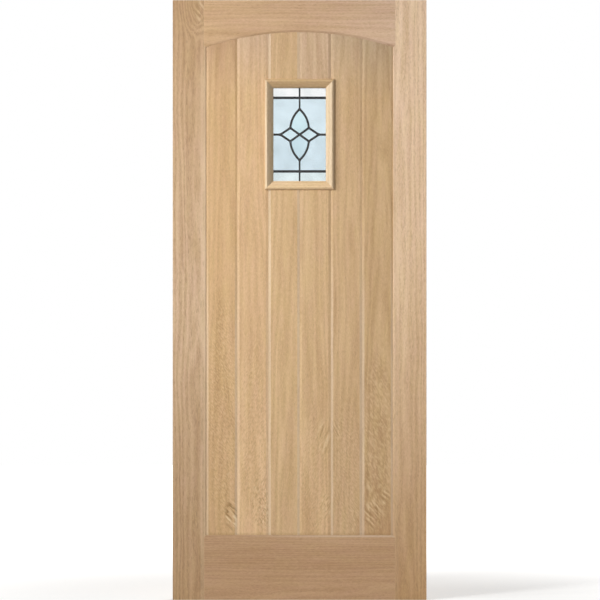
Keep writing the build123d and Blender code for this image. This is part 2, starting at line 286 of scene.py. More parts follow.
# Sideways wander of the grain: width, depth and length of one bend, in mm.
WANDER_SIZE = (90, 90, 420)
# Height of a swirl is its width divided by this.
SWIRL_SQUASH = 0.6
# How little the rings change along the grain.
RING_TAPER = 0.05
# Width and length of a pore and of a stile's dash, in mm, and the share of brown in a pore.
PORE_SIZE, DASH_SIZE, PORE_SHARE = (0.9, 9.0), (2.4, 24.0), 0.28
# Noise above which a ring starts with pores, how much more it takes at its end, and their soft edge.
PORE_LIMIT, PORE_THIN, PORE_EDGE = 0.55, 0.08, 0.09
# Noise at which a dark edge and a pale fleck begin and are full, and the patch's soft rim in reaches.
FLECK_TONES = ((0.47, 0.36, DARK_OAK), (0.53, 0.64, FLECK_PALE))
FLECK_RIM = (0.5, 1.1)
# Depth of a pore against the height of a fibre.
PORE_DEPTH = 1.6
# Shades between which the roughness goes from one value to the other.
ROUGH_SHADES, ROUGHNESS = (0.2, 0.9), (0.58, 0.46)
# Reach of a sanded arris in mm, cosines at which it begins and is full, and how pale it is.
ARRIS_REACH, ARRIS_TURN, ARRIS_SHARE = 1.2, (0.97, 0.8), 0.22
# Half width of a lipping's seam, in mm.
SEAM_SOFT = 0.5
# Cosines to the leaf's face at which a joint's slope begins and is full, and at which it ends as an edge.
SLOPE_TURN, EDGE_TURN = (0.995, 0.985), (0.9, 0.8)
# Heights between which the painted highlight or painted shade on a slope comes in, downwards or upwards, in
# mm.
TINT_BELOW, TINT_ABOVE = (1200, 900), (900, 1200)


@dataclass(frozen=True)
class OakFinish:
    """Bare European oak, planed and sanded: matt, with rings, long fibres, open pores and ray flecks.

    Lengths are in mm.

    Attributes:
        tone: The colour that the piece averages to.
        grain: Which way the grain runs.
        seed: Number that sets this piece's own pattern.
        pith: Where the heart of the log lies from the piece's middle, across and back.
        lean: Angles of the log to the piece, forward and sideways, in degrees.
        ring_width: Spacing of the growth rings, drawn about twice the real one so that it shows.
        ring_strength: How far the rings tint the wood.
        wave: How far the grain wanders sideways.
        flecks: Patches of ray fleck.
        dashes: How dark the long fine dashes are, which show on the stiles.
        swirl: A bulge in the rings, where the piece has one.
        slope: The painted highlight or painted shade on the shallow slopes of its joints.
        slope_across: Places across the leaf between which that painted light or shade comes in, if uneven.
        slope_up: Heights between which that painted light or shade comes in, if uneven.
        foot: The tone at its lower or left end, where that differs; on some pieces it is painted shade.
        head: The tone at its upper or right end, where that differs; on some pieces it is painted shade.
        drift: Share of its half length over which the tone drifts, at the foot and at the head.
        lipping: How much paler the solid strip along the inner edge of a stile is.
        foot_line: How dark the painted shadow is on the boards where they enter the bottom rail's groove.
        board_face: Where the front of the boards lies from the leaf's mid-plane.
        fleck_depth: How deep a patch of ray fleck goes.
        lipping_seam: Where the strip begins, from the leaf's middle.
        lipping_head: Heights between which the strip fades into the stile's head.
        rail_top: Height of the bottom rail's upper edge.
        foot_reach: How far up the boards that painted shadow goes.
    """

    tone: OakTone
    grain: Grain = Grain.UPRIGHT
    seed: float = 0.0
    pith: tuple[float, float] = (120.0, 60.0)
    lean: tuple[float, float] = (0.6, 0.2)
    ring_width: float = 8.0
    ring_strength: float = 0.2
    wave: float = 14.0
    flecks: tuple[RayFleck, ...] = ()
    dashes: float = 0.0
    swirl: Swirl | None = None
    slope: Slope = Slope.FAINT_HIGHLIGHT
    slope_across: tuple[float, float] | None = None
    slope_up: tuple[float, float] | None = None
    foot: OakTone | None = None
    head: OakTone | None = None
    drift: tuple[float, float] = (1.0, 1.0)
    lipping: float = 0.0
    foot_line: float = 0.0
    board_face: float = -20.2
    fleck_depth: float = 25.0
    lipping_seam: float = 327.0
    lipping_head: tuple[float, float] = (1720.0, 1850.0)
    rail_top: float = 214.0
    foot_reach: float = 11.0

    def material(self, name: str, low: Vector, high: Vector) -> Material:
        """Builds the oak for one piece.

        Args:
            name: Name for the material.
            low: Lower corner of the piece's box, in metres.
            high: Upper corner of the piece's box, in metres.

        Returns:
            The finished material.
        """
        material, tree = new_material(name)
        place = add_node(tree, "TexCoord", out="Object")
        wood = self._wood_axes(tree, place, (low + high) / 2)
        rings = self._rings(tree, wood)
        layers = {layer: self._streaks(tree, wood, layer) for layer in SHADING}
        weights = [(rings, self.ring_strength)]
        weights += [(layers[layer], weight) for layer, weight in SHADING.items()]
        shade = MEAN_SHADE - sum(weight / 2 for _, weight in weights)
        for value, weight in weights:
            shade = add_node(tree, "Math", [value, weight, shade], operation="MULTIPLY_ADD")
        wood_colour = self._clear_wood(tree, wood, shade, max(high - low) / 2)
        pores = self._dashes(tree, wood, PORE_SIZE, rings, PORE_SHARE)
        marks = [(pores, PORE_BROWN)]
        if self.dashes > 0:
            marks.append((self._dashes(tree, wood, DASH_SIZE, rings, self.dashes), PORE_BROWN))
        for fleck in self.flecks:
            marks += self._fleck(tree, place, fleck)
        marks += self._edges(tree, place)
        for share, tone in marks:
            wood_colour = add_node(
                tree, "Mix", {SHARE: share, UNDER: wood_colour, OVER: linear(tone)}, **COLOURS
            )
        height = add_node(tree, "Math", [pores, -PORE_DEPTH, layers[FIBRE]], operation="MULTIPLY_ADD")
        bump = add_node(tree, "Bump", {"Strength": 0.55, "Distance": 0.3 * MM, "Height": height})
        rough = add_node(tree, "MapRange", [shade, *ROUGH_SHADES, *ROUGHNESS])
        close_material(tree, {
            "Base Color": self._slope_light(tree, place, wood_colour), "Roughness": rough, "IOR": 1.5,
            "Normal": bump,
        })
        return material

    def _clear_wood(self, tree: NodeTree, wood: NodeSocket, shade: NodeSocket, half: float) -> NodeSocket:
        """Colours the wood by its shade and lets its hue wander.

        Args:
            tree: The material's node tree.
            wood: Coordinates in the wood.
            shade: How pale the wood is, from zero to one.
            half: Half the length of the piece, in metres.

        Returns:
            The colour before pores, flecks and edges.
        """
        along = add_node(tree, "SeparateXYZ", [wood], out="Z")
        dark, pale = (self._tone_along(tree, along, half, depth) for depth in (DARK_WOOD, PALE_WOOD))
        shaded = add_node(tree, "Mix", {SHARE: shade, UNDER: dark, OVER: pale}, **COLOURS)
        yellow, pink = (linear(tinge) for tinge in TINGES)
        hue = self._streaks(tree, wood, HUE)
        tinge = add_node(tree, "Mix", {SHARE: hue, UNDER: yellow, OVER: pink}, **COLOURS)
        return add_node(
            tree, "Mix", {SHARE: 1.0, UNDER: shaded, OVER: tinge}, blend_type="MULTIPLY", **COLOURS
        )

    def _tone_along(
        self, tree: NodeTree, along: NodeSocket, half: float, depth: float
    ) -> NodeSocket | Colour:
        """Lets the tone drift from the middle of the piece to its ends, which on some pieces paints shade at
        an end.

        Args:
            tree: The material's node tree.
            along: Place along the grain, zero at the middle of the piece.
            half: Half the length of the piece, in metres.
            depth: How dark or light the wood is.

        Returns:
            The colour along the piece.
        """
        colour = self.tone.at(depth)
        for end, reach, drift in zip((self.foot, self.head), (-half, half), self.drift):
            if end is not None:
                share = add_node(tree, "MapRange", [along, reach * (1.0 - drift), reach])
                colour = add_node(tree, "Mix", {SHARE: share, UNDER: colour, OVER: end.at(depth)}, **COLOURS)
        return colour

    def _edges(self, tree: NodeTree, place: NodeSocket) -> Marks:
        """Draws a piece's edges: sanded arrises, a stile's lipping and a painted shadow at the feet of the
        boards.

        Args:
            tree: The material's node tree.
            place: Object coordinates.

        Returns:
            Share of each mark, with its colour.
        """
        rounded = add_node(tree, "Bevel", {"Radius": ARRIS_REACH * MM}, samples=4)
        flat = add_node(tree, "NewGeometry", out="Normal")
        flatness = add_node(tree, "VectorMath", [rounded, flat], operation="DOT_PRODUCT", out="Value")
        sanded = add_node(tree, "MapRange", [flatness, *ARRIS_TURN, 0.0, ARRIS_SHARE])
        marks = [(sanded, SANDED_PALE)]
        axes = add_node(tree, "SeparateXYZ", [place]).node.outputs
        if self.lipping > 0:
            across = add_node(tree, "Math", [axes["X"]], operation="ABSOLUTE")
            low, high = (height * MM for height in self.lipping_head)
            most = add_node(tree, "MapRange", [axes["Z"], low, high, self.lipping, 0.0])
            seam, soft = self.lipping_seam * MM, SEAM_SOFT * MM
            strip = add_node(tree, "MapRange", [across, seam + soft, seam - soft, 0.0, most])
            marks.append((strip, LIPPING_PALE))
        # Painted shadow: a dark line on the boards just above the bottom rail.
        if self.foot_line > 0:
            top, rise = self.rail_top * MM, self.foot_reach * MM
            line = add_node(tree, "MapRange", [axes["Z"], top + rise, top, 0.0, self.foot_line], **SMOOTH)
            marks.append((line, DARK_OAK))
        return marks

    def _slope_light(self, tree: NodeTree, place: NodeSocket, wood_colour: NodeSocket) -> NodeSocket:
        """Paints light and shade on the shallow slopes of the joints, as the lamps would light them.

        Args:
            tree: The material's node tree.
            place: Object coordinates.
            wood_colour: Colour of the wood.

        Returns:
            The colour with painted light and shade on the slopes.
        """
        tone, most = self.slope.value
        axes = add_node(tree, "SeparateXYZ", [place]).node.outputs
        for axis, span in (("X", self.slope_across), ("Z", self.slope_up)):
            if span is not None:
                start, full = (edge * MM for edge in span)
                most = add_node(tree, "MapRange", [axes[axis], start, full, 0.0, most])
        normal = add_node(tree, "NewGeometry", out="True Normal")
        facing = add_node(tree, "SeparateXYZ", [normal], out="Y")
        facing = add_node(tree, "Math", [facing], operation="ABSOLUTE")
        # Painted light and shade go on slopes that tilt a little from the face, not on steeper edges.
        tilted = add_node(tree, "MapRange", [facing, *SLOPE_TURN, 0.0, most])
        shallow = add_node(tree, "MapRange", [facing, *EDGE_TURN, 1.0, 0.0])
        share = add_node(tree, "Math", [tilted, shallow], operation="MULTIPLY")
        return add_node(tree, "Mix", {SHARE: share, UNDER: wood_colour, OVER: linear(tone)}, **COLOURS)

    def _wood_axes(self, tree: NodeTree, place: NodeSocket, middle: Vector) -> NodeSocket:
        """Turns the leaf's axes to the wood's own, with the grain upright and the piece's middle at zero.

        Args:
            tree: The material's node tree.
            place: Object coordinates.
            middle: The middle of the piece, in metres.

        Returns:
            Coordinates in the wood, bent by its waves and its swirl.
        """
        upright = Euler((0, math.radians(self.grain.value), 0)).to_matrix()
        turn = Euler([math.radians(angle) for angle in (*self.lean, 0)]).to_matrix() @ upright
        wood = add_node(
            tree, "Mapping", {"Vector": place, "Rotation": turn.to_euler(), "Location": -(turn @ middle)}
        )
        wander = add_node(tree, "Mapping", {
            "Vector": wood, "Scale": per_metre(*WANDER_SIZE), "Location": (self.seed, *WANDER_OFF),
        })
        wander = add_node(tree, "TexNoise", {"Vector": wander, "Scale": 1.0, "Detail": 2.0}, out="Color")
        amount = self.wave * MM
        wander = add_node(
            tree, "VectorMath", [wander, (amount, amount, 0), (-amount / 2, -amount / 2, 0)],
            operation="MULTIPLY_ADD"
        )
        wood = add_node(tree, "VectorMath", [wood, wander], operation="ADD")
        if self.swirl is None:
            return wood
        across, up = self.swirl.centre
        face = add_node(tree, "VectorMath", [place, (1, 0, SWIRL_SQUASH)], operation="MULTIPLY")
        centre = (across * MM, 0, up * MM * SWIRL_SQUASH)
        away = add_node(tree, "VectorMath", [face, centre], operation="DISTANCE", out="Value")
        reach, lift = self.swirl.reach * MM, self.swirl.lift * MM
        bulge = add_node(
            tree, "MapRange", [away, 0.0, reach, lift, 0.0], interpolation_type="SMOOTHERSTEP"
        )
        bulge = add_node(tree, "CombineXYZ", {"Y": bulge})
        return add_node(tree, "VectorMath", [wood, bulge], operation="ADD")

    def _rings(self, tree: NodeTree, wood: NodeSocket) -> NodeSocket:
        """Draws the growth rings round the log's heart: dark porous wood and paler dense wood by turns.

        Args:
            tree: The material's node tree.
            wood: Coordinates in the wood.

        Returns:
            Paleness within the ring, from zero to one.
        """
        heart = add_node(tree, "Mapping", {
            "Vector": wood, "Scale": (1, 1, RING_TAPER),
            "Location": (-self.pith[0] * MM, -self.pith[1] * MM, self.seed),
        })
        # The node draws 20 / (2 pi) rings in a unit at a scale of one.
        rings_at_one = 20 / (2 * math.pi)
        return add_node(tree, "TexWave", {
            "Vector": heart, "Scale": 1 / (self.ring_width * MM * rings_at_one), "Distortion": 9.0,
            "Detail": 2.0, "Detail Scale": 0.7, "Detail Roughness": 0.6,
        }, wave_type="RINGS", rings_direction="Z", out="Fac")

    def _streaks(self, tree: NodeTree, wood: NodeSocket, layer: Streak) -> NodeSocket:
        """Draws noise that is stretched along the grain.

        Args:
            tree: The material's node tree.
            wood: Coordinates in the wood.
            layer: Size and detail of the noise.

        Returns:
            Values from about zero to one, with a mean of a half.
        """
        mapped = add_node(tree, "Mapping", {
            "Vector": wood, "Scale": per_metre(*layer.size),
            "Location": (self.seed * STREAK_SEED, layer.shift, STREAK_OFF),
        })
        noise = add_node(tree, "TexNoise", {
            "Vector": mapped, "Scale": 1.0, "Detail": layer.detail, "Roughness": 0.6,
        }, out="Fac")
        return add_node(tree, "MapRange", [noise, *STREAK_SPAN], clamp=False)

    def _dashes(
        self, tree: NodeTree, wood: NodeSocket, size_mm: tuple[float, float], rings: NodeSocket, most: float
    ) -> NodeSocket:
        """Draws the open pores as dark dashes along the grain, thickest at the start of each ring.

        Real pores are about 0.3 mm wide, and these are drawn three times that or more so that they show.

        Args:
            tree: The material's node tree.
            wood: Coordinates in the wood.
            size_mm: Width and length of a dash.
            rings: Paleness within the ring.
            most: Share of dark colour at the middle of a dash.

        Returns:
            Share of dark colour.
        """
        width, length = size_mm
        mapped = add_node(tree, "Mapping", {
            "Vector": wood, "Scale": per_metre(width, width, length),
            "Location": (length, self.seed * DASH_SEED, DASH_OFF),
        })
        noise = add_node(tree, "TexNoise", {"Vector": mapped, "Scale": 1.0, "Detail": 1.0}, out="Fac")
        limit = add_node(tree, "Math", [rings, PORE_THIN, PORE_LIMIT], operation="MULTIPLY_ADD")
        over = add_node(tree, "Math", [noise, limit], operation="SUBTRACT")
        return add_node(tree, "MapRange", [over, 0.0, PORE_EDGE, 0.0, most], **SMOOTH)

    def _fleck(self, tree: NodeTree, place: NodeSocket, fleck: RayFleck) -> Marks:
        """Draws one patch of ray flecks.

        Args:
            tree: The material's node tree.
            place: Object coordinates.
            fleck: The patch.

        Returns:
            Shares of the dark edges and of the pale flecks, each with its colour.
        """
        width, length = fleck.size
        turn = Euler((0, math.radians(-fleck.slope), 0))
        slanted = add_node(tree, "Mapping", {"Vector": place, "Rotation": turn})
        slanted = add_node(tree, "Mapping", {
            "Vector": slanted, "Scale": per_metre(width, width, length),
            "Location": (self.seed, 0, fleck.slope),
        })
        noise = add_node(
            tree, "TexNoise", {"Vector": slanted, "Scale": 1.0, "Detail": 1.0, "Roughness": 0.4}, out="Fac"
        )
        reach = (fleck.reach[0], self.fleck_depth, fleck.reach[1])
        centre = (fleck.centre[0], self.board_face, fleck.centre[1])
        spread = add_node(tree, "Mapping", {
            "Vector": place, "Scale": per_metre(*reach),
            "Location": [-place_mm / reach_mm for place_mm, reach_mm in zip(centre, reach)],
        })
        away = add_node(tree, "VectorMath", [spread], operation="LENGTH", out="Value")
        patch = add_node(tree, "MapRange", [away, *FLECK_RIM, fleck.strength, 0.0], **SMOOTH)
        marks = []
        for start, full, tone in FLECK_TONES:
            drawn = add_node(tree, "MapRange", [noise, start, full], **SMOOTH)
            share = add_node(tree, "Math", [drawn, patch], operation="MULTIPLY")
            marks.append((share, tone))
        return marks


@dataclass(frozen=True)
class SheetGlass:
    """Sheet glass, clear or lightly tinted, with the slow ripple or the fine dapple of its rolls.

    Attributes:
        name: Name for the material.
        tint: Colour of light that has passed through.
        roughness: How far the surface scatters what is seen through it.
        dapple: Size of the ripples, in mm.
        depth: Height of the ripples, in mm.
        gloss: Strength of its reflections, a half for bare glass and less for coated glass.
        cloud: Size of the slow changes in its tint, in mm.
        cloud_depth: How far they darken and lighten it.
    """

    name: str
    tint: str
    roughness: float
    dapple: float
    depth: float = 0.25
    gloss: float = 0.15
    cloud: float = 60.0
    cloud_depth: float = 0.03

    def material(self) -> Material:
        """Builds the glass.

        Returns:
            The finished material.
        """
        material, tree = new_material(self.name)
        place = add_node(tree, "TexCoord", out="Object")
        dapple, cloud = (
            add_node(tree, "TexNoise", {"Vector": place, "Scale": scale, "Detail": 1.0}, out="Fac")
            for scale in per_metre(self.dapple, self.cloud)
        )
        bump = add_node(tree, "Bump", {"Strength": 0.4, "Distance": self.depth * MM, "Height": dapple})
        cloud = add_node(tree, "MapRange", [cloud, NOISE_LOW, NOISE_HIGH])
        dull, bright = (linear(self.tint, 1 + change) for change in (-self.cloud_depth, self.cloud_depth))
        tone = add_node(tree, "Mix", {SHARE: cloud, UNDER: dull, OVER: bright}, **COLOURS)
        close_material(tree, {
            "Base Color": tone, "Roughness": self.roughness, "IOR": 1.52, "Transmission Weight": 1.0,
            "Specular IOR Level": self.gloss, "Normal": bump,
        })
        return material


@dataclass(frozen=True)
class PlainFinish:
    """A finish of one colour, with the fine unevenness that its making leaves.

    Attributes:
        name: Name for the material.
        low: Darker colour.
        high: Lighter colour.
        roughness: Roughness of the darker and the lighter parts.
        metallic: One for a bare metal.
        mark: Width, depth and length of the marks, in mm.
        depth: Height of the marks, in mm.
        gloss: Strength of its reflections, a half for most and less for a sooty skin.
    """

    name: str
    low: str
    high: str
    roughness: tuple[float, float]
    metallic: float
    mark: tuple[float, float, float]
    depth: float
    gloss: float = 0.5

    def material(self) -> Material:
        """Builds the finish.

        Returns:
            The finished material.
        """
        material, tree = new_material(self.name)
        place = add_node(tree, "TexCoord", out="Object")
        mapped = add_node(tree, "Mapping", {"Vector": place, "Scale": per_metre(*self.mark)})
        noise = add_node(tree, "TexNoise", {"Vector": mapped, "Scale": 1.0, "Detail": 3.0}, out="Fac")
        marks = add_node(tree, "MapRange", [noise, NOISE_LOW, NOISE_HIGH])
        colour = add_node(
            tree, "Mix", {SHARE: marks, UNDER: linear(self.low), OVER: linear(self.high)}, **COLOURS
        )
        rough = add_node(tree, "MapRange", [marks, 0.0, 1.0, *self.roughness])
        bump = add_node(tree, "Bump", {"Strength": 0.5, "Distance": self.depth * MM, "Height": noise})
        close_material(tree, {
            "Base Color": colour, "Roughness": rough, "Metallic": self.metallic,
            "Specular IOR Level": self.gloss, "Normal": bump,
        })
        return material


# Turned beech rod: pale pink-brown and close-grained.
BEECH = PlainFinish("turned_beech", "#C79F78", "#DDBB95", (0.6, 0.5), 0.0, (24, 1.4, 1.4), 0.1)
# Bright drawn wire: grey and fairly sharp in its reflections.
BRAD_STEEL = PlainFinish("drawn_steel_wire", "#8C8C8A", "#B4B4B0", (0.45, 0.3), 1.0, (0.6, 6, 0.6), 0.02)
# Mill-finish aluminium section: pale grey with faint lines along it.
ALUMINIUM = PlainFinish("mill_aluminium", "#B9BBBC", "#D3D5D6", (0.45, 0.32), 1.0, (4, 0.8, 4), 0.02)
# Cured butyl and polysulphide: black and dull.
SEALANT = PlainFinish("black_polysulphide", "#101112", "#1C1D1E", (0.75, 0.6), 0.0, (4, 4, 4), 0.2)
# Closed-cell foam tape: dark grey with a fine open skin.
FOAM_TAPE = PlainFinish("foam_glazing_tape", "#2A2B2C", "#3A3B3C", (0.95, 0.8), 0.0, (1, 1, 1), 0.1)
# Moulded polypropylene packer: blue, smooth and slightly waxy.
PACKER = PlainFinish("moulded_polypropylene", "#5268A8", "#5F76BA", (0.5, 0.4), 0.0, (3, 3, 3), 0.05)
# Lead came with a black patina: nearly black, soft-edged and a little uneven.
LEAD = PlainFinish("blackened_lead", "#07090C", "#12161A", (0.6, 0.45), 0.0, (3, 3, 3), 0.15, 0.05)
# Tinned solder under the same patina: a touch greyer and smoother.
SOLDER = PlainFinish("blackened_solder", "#0A0D10", "#161A1F", (0.5, 0.36), 0.0, (2, 2, 2), 0.1, 0.1)
# Float glass: colourless and flat.
CLEAR_FLOAT = SheetGlass("clear_float_glass", "#FDFEFE", 0.0, 180.0, 0.01, 0.08)
# Rolled cathedral glass, whose dapple blurs the view: each group comes from a sheet of its own tint.
CATHEDRAL = {
    "quarry_strip_upper": SheetGlass("white_cathedral_glass", "#FDFFFF", 0.1, 9.0),
    "quarry_strip_lower": SheetGlass("ice_cathedral_glass", "#E5F2F4", 0.1, 9.0),
    "quarry_field_upper": SheetGlass("sky_cathedral_glass", "#DFF0F8", 0.12, 9.0),
    "quarry_field_lower": SheetGlass("mist_cathedral_glass", "#D6E8F1", 0.12, 9.0),
    "quarry_lancet_upper": SheetGlass("aqua_cathedral_glass", "#D5EFF6", 0.12, 7.0),
    "quarry_lancet_lower": SheetGlass("steel_cathedral_glass", "#CEE6F0", 0.12, 7.0),
    "quarry_diamond": SheetGlass("pale_cathedral_glass", "#DCF1F9", 0.12, 7.0),
}


@dataclass(frozen=True)
class Easing:
    """How the sharp edges of a planed or cast piece are rounded and its curves smoothed.

    Attributes:
        width: Width of the rounding, in mm.
        merged: Distance within which corners are merged first, in mm.
        whole: Angle up to which neighbouring faces become one, in degrees.
        sharp: Angle from which an edge is rounded, in degrees.
    """

    width: float
    merged: float = 0.005
    whole: float = 0.3
    sharp: float = 28.0

    def ease(self, piece: Object) -> None:
        """Adds the modifiers that ease one piece.

        Args:
            piece: A wooden or cast piece.
        """
        merge = piece.modifiers.new("merged_corners", "WELD")
        merge.merge_threshold = self.merged * MM
        whole = piece.modifiers.new("whole_faces", "DECIMATE")
        whole.decimate_type = "DISSOLVE"
        whole.angle_limit = math.radians(self.whole)
        arris = piece.modifiers.new("eased_arris", "BEVEL")
        arris.width = self.width * MM
        arris.segments = 2
        arris.profile = 0.5
        arris.material = -1
        arris.angle_limit = math.radians(self.sharp)
        arris.use_clamp_overlap = False
        even = piece.modifiers.new("even_shading", "WEIGHTED_NORMAL")
        even.weight = 100


@dataclass
class Joinery:
    """A set of oak pieces: their finishes and how far their edges are eased.

    Attributes:
        arris: Width of the eased edges, in mm.
        finishes: Finish of each node.
    """

    arris: float
    finishes: dict[str, OakFinish]

    def dress(self) -> None:
        """Eases and finishes every piece of the set."""
        for node, finish in self.finishes.items():
            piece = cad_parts[node]
            if self.arris > 0:
                Easing(self.arris).ease(piece)
            put_on(piece, finish.material(f"oak_{node}", *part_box(node)))
            LOG.info("oak piece %s in %s", node, finish.tone.name)


def frame_oak() -> dict[str, OakFinish]:
    """Picks the oak of the stiles and rails.

    Returns:
        Finish of each node.
    """
    return {
        # The hinge stile's slope faces away from the key lamp; a warm painted highlight lifts it.
        "hinge_stile": OakFinish(
            OakTone.ROSE, seed=1.3, pith=(30, 52), lean=(0.4, 0.5), ring_width=9.0,
            ring_strength=0.34, wave=26.0, dashes=0.36, swirl=Swirl((-330, 1975), 90, 42), slope=Slope.WARM_HIGHLIGHT,
            # Its foot darkens as painted shade, where the lamps light it less.
            foot=OakTone.SMOKED, head=OakTone.SMOKED, lipping=0.13,
            flecks=(RayFleck((-330, 1945), (26, 44), -38, 0.34, (8, 60)),)
        ),
        # Painted shade on the lock stile's slope above about 1 m, where the lamps light it most.
        "lock_stile": OakFinish(
            OakTone.CREAM, seed=8.7, pith=(-34, 50), lean=(0.3, -0.2), ring_width=9.0, dashes=0.2,
            # Its foot darkens as painted shade, where the lamps light it less.
            slope=Slope.UPPER_SHADE, slope_up=TINT_ABOVE, foot=OakTone.AMBER, head=OakTone.BLUSH, lipping=0.05
        ),
        # A painted shadow line on the top rail's slope under the arch, fading out towards its left end.
        "top_rail": OakFinish(
            OakTone.BISCUIT, Grain.LEVEL, seed=4.1, pith=(45, 60), lean=(0.3, 0.3), ring_strength=0.16,
            wave=8.0, slope=Slope.ARCH_SHADOW, slope_across=(-340, -90), foot=OakTone.SAND, head=OakTone.SHELL
        ),
        # A painted highlight on the bottom rail's upward slope, coming in towards the right.
        "bottom_rail": OakFinish(
            OakTone.RUSSET, Grain.LEVEL, seed=6.6, pith=(70, 70), lean=(0.4, 0.2), ring_width=6.0,
            ring_strength=0.18, wave=10.0, slope=Slope.FULL_HIGHLIGHT, slope_across=(-200, 130)
        ),
    }


def board_oak() -> dict[str, OakFinish]:
    """Picks the oak of the six boards.

    Returns:
        Finish of each node.
    """
    # Darkness of the painted shadow on the boards' feet, where they enter the bottom rail.
    line = 0.3
    # Painted highlights on the outer boards' slopes, only below about 1 m, since the lamps light the upper
    # slopes more.
    outer = dict(slope=Slope.FULL_HIGHLIGHT, slope_up=TINT_BELOW, foot_line=line)
    # Painted highlights on board 3's slopes, all along.
    third = dict(seed=3.9, pith=(20, 95), lean=(0.9, 0.1), slope=Slope.FULL_HIGHLIGHT, foot_line=line)
    # Painted shade on board 4's slopes above about 1 m.
    fourth = dict(
        seed=5.2, pith=(-25, 70), lean=(0.5, 0.3), slope=Slope.UPPER_SHADE, slope_up=TINT_ABOVE, foot_line=line
    )
    fourth_flecks = (
        RayFleck((79, 535), (26, 66), 20, 0.4, (7.5, 80)), RayFleck((88, 310), (22, 52), 30, 0.34, (5, 22)),
        RayFleck((50, 420), (60, 300), 26, 0.16, (4, 12)),
    )
    return {
        "board_1": OakFinish(
            # Its head darkens as painted shade under the arch.
            OakTone.HONEY, seed=2.2, pith=(20, 80), lean=(0.7, 0.1), head=OakTone.RUSSET, drift=(1.0, 0.25),
            flecks=(
                RayFleck((-224, 280), (26, 58), -46, 0.82, (8, 44)),
                RayFleck((-255, 620), (60, 480), -32, 0.24, (4, 11)),
            ), **outer
        ),
        # Painted highlights on board 2's slopes below about 1 m.
        "board_2": OakFinish(
            OakTone.WHEAT, seed=7.4, pith=(-20, 90), lean=(0.8, 0.2), slope_up=TINT_BELOW,
            # Its head darkens as painted shade under the arch.
            foot_line=line, foot=OakTone.LINEN, head=OakTone.ROSE, drift=(0.8, 0.25),
            flecks=(
                RayFleck((-130, 330), (36, 120), 22, 0.3, (4.5, 12)),
                RayFleck((-118, 300), (22, 80), -34, 0.38, (5, 16)),
                RayFleck((-155, 560), (60, 380), 24, 0.18, (4, 12)),
            )
        ),
        "board_3_lower": OakFinish(OakTone.STRAW, **third),
        "board_3_upper": OakFinish(OakTone.FAWN, **third),
        "board_4_lower": OakFinish(
            OakTone.TAN, foot=OakTone.WHEAT, flecks=fourth_flecks, **fourth
        ),
        "board_4_upper": OakFinish(OakTone.ROSE, **fourth),
        "board_5": OakFinish(
            # Its head darkens as painted shade under the arch.
            OakTone.FAWN, seed=9.8, pith=(25, 85), lean=(0.8, 0.2), head=OakTone.DUSK, drift=(1.0, 0.25),
            flecks=(
                RayFleck((180, 270), (24, 55), -30, 0.3, (5, 18)),
                RayFleck((120, 560), (18, 40), -28, 0.3, (5, 30)),
                RayFleck((155, 440), (60, 300), -30, 0.18, (4, 12)),
            ), **outer
        ),
        "board_6": OakFinish(
            OakTone.OLIVE, seed=11.5, pith=(10, 75), lean=(1.2, 0.3), ring_strength=0.26, wave=20.0,
            # Its head darkens as painted shade under the arch, and its foot as painted shade where the lamps
            # light it less.
            swirl=Swirl((225, 300), 75, 16), foot=OakTone.AMBER, head=OakTone.ASHEN, drift=(0.3, 0.25),
            flecks=(
                RayFleck((243, 283), (38, 58), -38, 0.46, (7, 30)),
                RayFleck((284, 335), (20, 40), -50, 0.4, (6, 26)),
                RayFleck((222, 380), (16, 60), -12, 0.36, (8, 60)),
                RayFleck((258, 520), (60, 380), -26, 0.22, (4.5, 13)),
            ), **outer
        ),
    }


@dataclass
class DoorFrame(Joinery):
    """The two stiles and the two rails, with their edges eased."""

    arris: float = 0.5
    finishes: dict[str, OakFinish] = field(default_factory=frame_oak)


@dataclass
class BoardPanel(Joinery):
    """The six boards, with their edges as they are cut."""

    arris: float = 0.0
    finishes: dict[str, OakFinish] = field(default_factory=board_oak)


@dataclass
class GlazingBeads:
    """The mitred beads on both faces and the brads that hold them.

    Attributes:
        arris: Width of the eased edges, in mm.
        seed: Number that sets the first bead's pattern.
        step: How far the numbers of the beads lie apart.
        sides: Side of the light, with the grain and the tone of its beads; the tones paint shade on the top
            bead, light on the bottom bead and a sheen on the side beads.
        faces: Faces of the leaf that carry beads.
    """

    arris: float = 0.35
    seed: float = 18.1
    step: float = 2.9
    sides: dict[str, tuple[Grain, OakTone]] = field(default_factory=lambda: {
        # The beads' tones paint shade on the top, light on the bottom and a sheen on the sides.
        "top": (Grain.LEVEL, OakTone.SHADED), "right": (Grain.UPRIGHT, OakTone.PALE),
        "bottom": (Grain.LEVEL, OakTone.BRIGHT), "left": (Grain.UPRIGHT, OakTone.PALE),
    })
    faces: tuple[str, ...] = ("outer", "inner")

    def dress(self) -> None:
        """Finishes the beads in pale oak and the brads in bright wire."""
        for face in self.faces:
            finishes = {}
            for number, (side, (grain, tone)) in enumerate(self.sides.items()):
                node = f"{face}_bead_{side}"
                finishes[node] = OakFinish(
                    tone, grain, seed=self.seed + self.step * number, pith=(70, 40), lean=(0.3, 0.2),
                    ring_width=5.0, wave=6.0, slope=Slope.PLAIN
                )
            Joinery(self.arris, finishes).dress()
            brads = f"{face}_bead_brads"
            put_on(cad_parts[brads], BRAD_STEEL.material())
            LOG.info("brads %s", brads)


